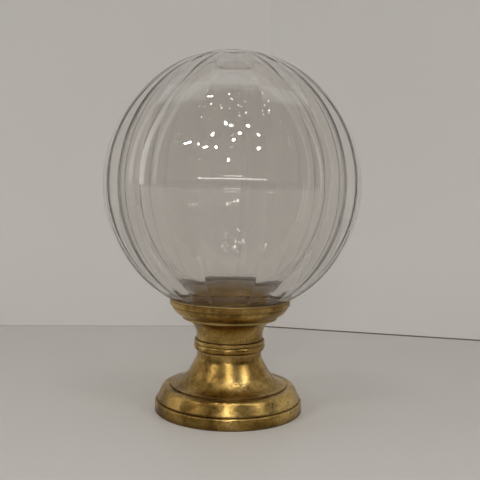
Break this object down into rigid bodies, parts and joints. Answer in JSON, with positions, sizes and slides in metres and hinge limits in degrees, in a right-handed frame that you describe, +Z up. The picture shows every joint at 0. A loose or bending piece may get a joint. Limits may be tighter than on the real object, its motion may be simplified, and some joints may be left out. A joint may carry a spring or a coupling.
{
  "type": "crystal ball finial",
  "caption": "Hollow panel-cut crystal ball on a turned brass pedestal, with a threaded socket below for a stair newel stud.",
  "frame": {"origin": "centre of the foot's underside", "axes": "+Z up along the axis of the ball and pedestal, -Y towards the viewer, through the middle of a panel"},
  "size_m": [0.123, 0.12, 0.1691],
  "materials": {
    "crystal": "polished",
    "cement": "matte",
    "brass": "aged satin",
    "leather": "matte",
    "steel": "satin"
  },
  "bodies": {
    "pedestal": {"bell_foot": "brass", "baluster_neck": "brass", "cup_collar": "brass", "tie_rod": "steel", "cup_nut": "steel", "cup_washer": "steel", "foot_washer": "steel", "coupling_nut": "steel"},
    "seat": {"seat_ring": "leather"},
    "ball": {"crystal_ball": "crystal", "setting_cement": "cement", "neck_socket": "brass"}
  },
  "joints": [
    {"name": "ball_rise", "type": "slide", "parent": "pedestal", "child": "seat", "axis": [0, 0, 1], "range_m": [0, 0.005]},
    {"name": "ball_turn", "type": "hinge", "parent": "seat", "child": "ball", "pos_m": [0, 0, 0.06], "axis": [0, 0, 1], "range_deg": [0, 1440]}
  ],
  "couplings": [
    {"joint": "ball_rise", "follows": "ball_turn", "m_per_rad": 0.00019894}
  ]
}
